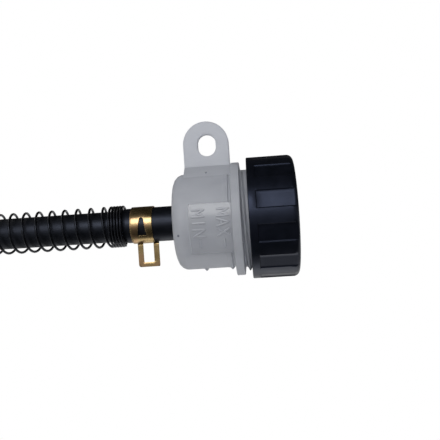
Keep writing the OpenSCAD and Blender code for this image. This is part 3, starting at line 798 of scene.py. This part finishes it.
def clampStations(outRadius):
    # each station: a point of the strip's middle surface, six places across it, and which parts are filled
    t, bend, half, strip = clamp["thickness"], clamp["bend"], clamp["width"] / 2, clamp["edgeStrip"]
    middle = outRadius - t / 2
    low, high = clamp["tabShift"] - clamp["slot"] / 2, clamp["tabShift"] + clamp["slot"] / 2
    tongueLow, tongueHigh = (clamp["tabShift"] + s * clamp["tongue"] / 2 for s in (-1, 1))
    legLow, legHigh = low - clamp["leg"], high + clamp["leg"]
    leaves = math.degrees(math.asin((bend + t / 2) / (middle + bend)))
    straight = (middle + bend) * math.cos(radians(leaves))
    quarter = np.radians(np.linspace(0, 90, 6))

    def radial(x, y, turn, mirror=1):
        c, s = math.cos(radians(turn)), math.sin(radians(turn))
        return (x * c - mirror * y * s, x * s + mirror * y * c)

    def bendPoints(turn, mirror):
        # from the straight tab round the bend to where it joins the ring
        beta = np.radians(np.linspace(270, 180 + leaves, 7))
        centre = (straight, (middle + bend) * math.sin(radians(leaves)))
        return [radial(centre[0] + bend * math.cos(b), centre[1] + bend * math.sin(b), turn, mirror)
                for b in beta]

    stations = []
    tip, corner, fillet = outRadius + clamp["loopOut"], clamp["corner"], clamp["fillet"]
    # loop tab: rounded outer corners, the bar, the slot's filleted end, then the two legs
    for a in quarter:
        inset = corner * (1 - math.sin(a))
        stations.append((radial(tip - corner * (1 - math.cos(a)), t / 2, 0),
                         (legLow + inset, low + strip, low + 1, high - 1, high - strip,
                          legHigh - clamp["squarer"] * inset), "AC"))
    for a in quarter[::2]:
        inset = fillet * (1 - math.sin(a))
        stations.append((radial(tip - clamp["bar"] - fillet * (1 - math.cos(a)), t / 2, 0),
                         (legLow, low + inset, low + 1, high - 1, high - inset, legHigh), "A"))
    for x in np.linspace(tip - clamp["bar"] - fillet, straight, 9)[1:-1]:
        stations.append((radial(x, t / 2, 0), (legLow, low, low + 1, high - 1, high, legHigh), "A"))
    for point in bendPoints(0, 1):
        stations.append((point, (legLow, low, low + 1, high - 1, high, legHigh), "A"))
    # rails, which step out to the band's full width, then the closed band with its window
    ring = np.unique(np.round(np.concatenate([
        leaves + np.array([1, 2.5, 4, 6, 9]), np.arange(25, clamp["tongueFrom"], 4.5),
        clamp["slotTo"] + np.array([-3, -1.5, 0]), clamp["windowFrom"] + np.array([0, 0.2, 0.7, 1.6, 3, 4.8]),
        clamp["windowTo"] - np.array([0, 2]), clamp["tongueFrom"] - np.array([0, 1, 3, 6])]), 2))
    for a in ring:
        stepped = smooth((a - leaves) / 5)
        close = np.clip(1 - np.abs(a - [clamp["tongueFrom"], clamp["slotTo"]]) / [7, 3], 0, 1)
        rounding, slotEnd = [corner * 0.6, fillet] * (1 - np.sqrt(1 - close ** 2))
        part = np.clip((a - clamp["windowFrom"]) / (clamp["windowTo"] - clamp["windowFrom"]), 0, 1)
        wide = (clamp["windowNarrow"] + (clamp["windowWide"] - clamp["windowNarrow"]) * part) / 2
        ends = np.clip(1 - (a - clamp["windowFrom"]) / clamp["windowRound"], 0, 1)
        wide *= math.sqrt(1 - clamp["windowTip"] * ends ** 2)
        knots = (clamp["slotTo"], clamp["windowFrom"] - 8, clamp["windowTo"] + 8, clamp["tongueFrom"])
        under, over = clamp["windowShift"] - wide, clamp["windowShift"] + wide
        lines = [np.interp(a, knots, values) for values in (
            (low, under - strip, under - strip, low), (low + 1, under, under, tongueLow),
            (high - 1, over, over, tongueHigh), (high, over + strip, over + strip, high))]
        stations.append((radial(middle, 0, a),
                         (legLow + (-half - legLow) * stepped + rounding, lines[0] + slotEnd, lines[1],
                          lines[2], lines[3] - slotEnd, legHigh + (half - legHigh) * stepped - rounding),
                         "A" if a < clamp["slotTo"] else
                         "AB" if clamp["windowFrom"] <= a < clamp["windowTo"] else "ABC"))
    # tongue: from the band's end through the loop's slot, then out into its tab
    stations[-1] = (*stations[-1][:2], "C")
    end = 360 + clamp["tongueAngle"]
    narrow = (tongueLow - 2, tongueLow - 1, tongueLow, tongueHigh, tongueHigh + 1, tongueHigh + 2)
    for a in np.linspace(clamp["tongueFrom"], end - leaves, 15)[1:-1]:
        stations.append((radial(middle, 0, a), narrow, "C"))
    for point in bendPoints(end, -1)[::-1]:
        stations.append((point, narrow, "C"))
    tabEnd, grow = outRadius + clamp["tongueOut"], (clamp["tongueTab"] - clamp["tongue"]) / 2
    for x in np.concatenate([straight + np.array([0.15, 0.3, 0.45, 0.6]),
                             np.linspace(straight + 0.6, tabEnd - corner, 5)[1:],
                             tabEnd - corner * (1 - np.sin(quarter[1:]))]):
        wider = grow * smooth((x - straight) / 0.6)
        inset = corner * (1 - math.sqrt(max(0, 1 - max(0, (x - tabEnd + corner) / corner) ** 2)))
        stations.append((radial(x, t / 2, end, -1),
                         (narrow[0] - 3, narrow[1] - 3, tongueLow - wider + inset,
                          tongueHigh + wider - inset, narrow[4] + 3, narrow[5] + 3), "C"))
    return stations


def makeClamp(name, node, body, material):
    low, high = boxOf(node)
    stations = clampStations(round(axisX - low[0], 2))
    centre = round(low[2] + clamp["width"] / 2, 2)
    flat = np.array([point for point, _, _ in stations])
    cells = (3, 1, 4, 1, 2)       # cells across each part between the six places
    index = np.concatenate([np.linspace(i, i + 1, n, endpoint=False) for i, n in enumerate(cells)] + [[5]])
    lines = np.array([np.interp(index, range(6), places) for _, places, _ in stations])
    points = np.concatenate([np.repeat(flat[:, None], len(index), axis=1) + (axisX, axisY),
                             lines[..., None] + centre], axis=-1)
    # A: the two outer strips, B: the strips beside the window, C: the middle
    keep = np.zeros((len(stations) - 1, len(index) - 1), bool)
    column = np.repeat(list("ABCBA"), cells)
    for row, (_, _, filled) in enumerate(stations[:-1]):
        keep[row] = [mark in filled or (filled == "AC" and mark == "B") for mark in column]
    mesh = gridMesh(name, points, keep=keep)
    piece = newPiece(name, mesh, material, body, "clamp", node, sharp=40)
    wall = piece.modifiers.new("strip", "SOLIDIFY")
    wall.thickness, wall.offset, wall.use_even_offset = clamp["thickness"] * mm, 0, True
    burr = piece.modifiers.new("deburred", "BEVEL")
    burr.width, burr.segments, burr.limit_method = clamp["burr"] * mm, 2, "ANGLE"
    burr.angle_limit = radians(50)
    return piece


zinc = yellowZinc()
clamps = [makeClamp("bandClampUpper", "clamp_upper", "upper_clamp", zinc),
          makeClamp("bandClampLower", "clamp_lower", "lower_clamp", zinc)]
print("clamps made")


# Plain studio: a white surround, a soft box in front on the ear's side, and a weak fill from the far side
studio = {"floorRadius": 0.3, "floorDrop": 0.012, "diffuse": 0.58,
          # greys that the object mirrors, from behind (0) past the ear's side (0.25), the front (0.5) and
          # the far side (0.75) to behind again (1)
          "mirrored": ((0.0, "#808080"), (0.09, "#202020"), (0.36, "#202020"), (0.43, "#D8D8D8"),
                       (0.49, "#A0A0A0"), (0.53, "#4C4C4C"), (0.6, "#242424"), (0.71, "#242424"),
                       (0.82, "#A0A0A0"), (1.0, "#E8E8E8"))}
# each soft box: power in watts, direction from the object, distance, width and length along the cup's axis
softBoxes = {"keySoftbox": (1.4, (-0.46, -0.88, -0.15), 0.6, 0.3, 0.4),
             "fillSoftbox": (0.5, (0.95, 0.33, 0.1), 0.6, 0.38, 0.5)}


def makeLights():
    # rectangles that face the cup, with their long side along its axis
    centre = Vector(axisPlace)
    for name, (power, direction, distance, width, length) in softBoxes.items():
        data = bpy.data.lights.new(name, "AREA")
        data.shape, data.size, data.size_y, data.energy = "RECTANGLE", width, length, power
        lamp = addObject(name, data)
        outward = Vector(direction).normalized()
        sideways = Vector((0, 0, 1)).cross(outward).normalized()
        facing = Matrix((sideways, outward.cross(sideways), outward)).transposed().to_4x4()
        facing.translation = centre + outward * distance
        lamp.matrix_world = facing


def makeSurround():
    # white to the camera and through clear parts; an even grey lights the object, and what it mirrors goes
    # by the turn round it: dark on both sides, a bright strip on the ear's side of the front, paler behind
    world = bpy.data.worlds.new("whiteSurround")
    world.use_nodes = True
    bpy.context.scene.world = world
    tree = world.node_tree
    rays = addNode(tree, "LightPath").outputs
    direction = addNode(tree, "TexCoord").outputs["Generated"]
    parts = addNode(tree, "SeparateXYZ", {"Vector": direction}).outputs
    forward = addNode(tree, "Math", {0: parts["Y"], 1: -1.0}, operation="MULTIPLY")
    turn = addNode(tree, "Math", {0: parts["X"], 1: forward}, operation="ARCTAN2")
    share = addNode(tree, "MapRange", {"Value": turn, "From Min": -math.pi, "From Max": math.pi})
    mirrored = addNode(tree, "ValToRGB", {"Fac": share}, studio["mirrored"])
    level = addNode(tree, "Mix", {"Factor": rays["Is Glossy Ray"], 2: studio["diffuse"],
                                            3: mirrored})
    seen = addNode(tree, "Math", {0: rays["Is Camera Ray"], 1: rays["Is Transmission Ray"]},
                   operation="MAXIMUM")
    strength = addNode(tree, "Mix", {"Factor": seen, 2: level, 3: 1.0})
    connect(tree, tree.nodes["Background"], {"Color": (1, 1, 1, 1), "Strength": strength})


def makeFloor():
    # pale disc below the hose's end: painted board in the middle, fading to white at its rim
    radius, z = studio["floorRadius"], cadBox[0][2] - studio["floorDrop"]
    r, a = np.meshgrid(np.linspace(radius / mm, 0, 24), np.radians(np.arange(0, 360, 5)), indexing="ij")
    mesh = gridMesh("floor", aroundAxis(r, a, np.full_like(r, z / mm)), False, True)
    material, tree, shader, place = newMaterial(
        "paleBoard", {"Base Color": linear("#ECECEA"), "Roughness": 0.8})
    fromAxis = addNode(tree, "VectorMath", {0: place, 1: (*axisPoint, z)},
                       operation="DISTANCE").outputs["Value"]
    rim = addNode(tree, "MapRange", {"Value": fromAxis, "From Min": radius * 0.45,
                                               "From Max": radius * 0.98})
    white = addNode(tree, "Emission", {"Color": (1, 1, 1, 1), "Strength": 1.0})
    mixed = addNode(tree, "MixShader", {0: rim, 1: shader, 2: white})
    connect(tree, tree.nodes["Material Output"], {"Surface": mixed})
    mesh.materials.append(material)
    addObject("floor", mesh)


makeLights()
makeSurround()
makeFloor()
bpy.context.scene.view_settings.view_transform = "Standard"
print("studio lit")
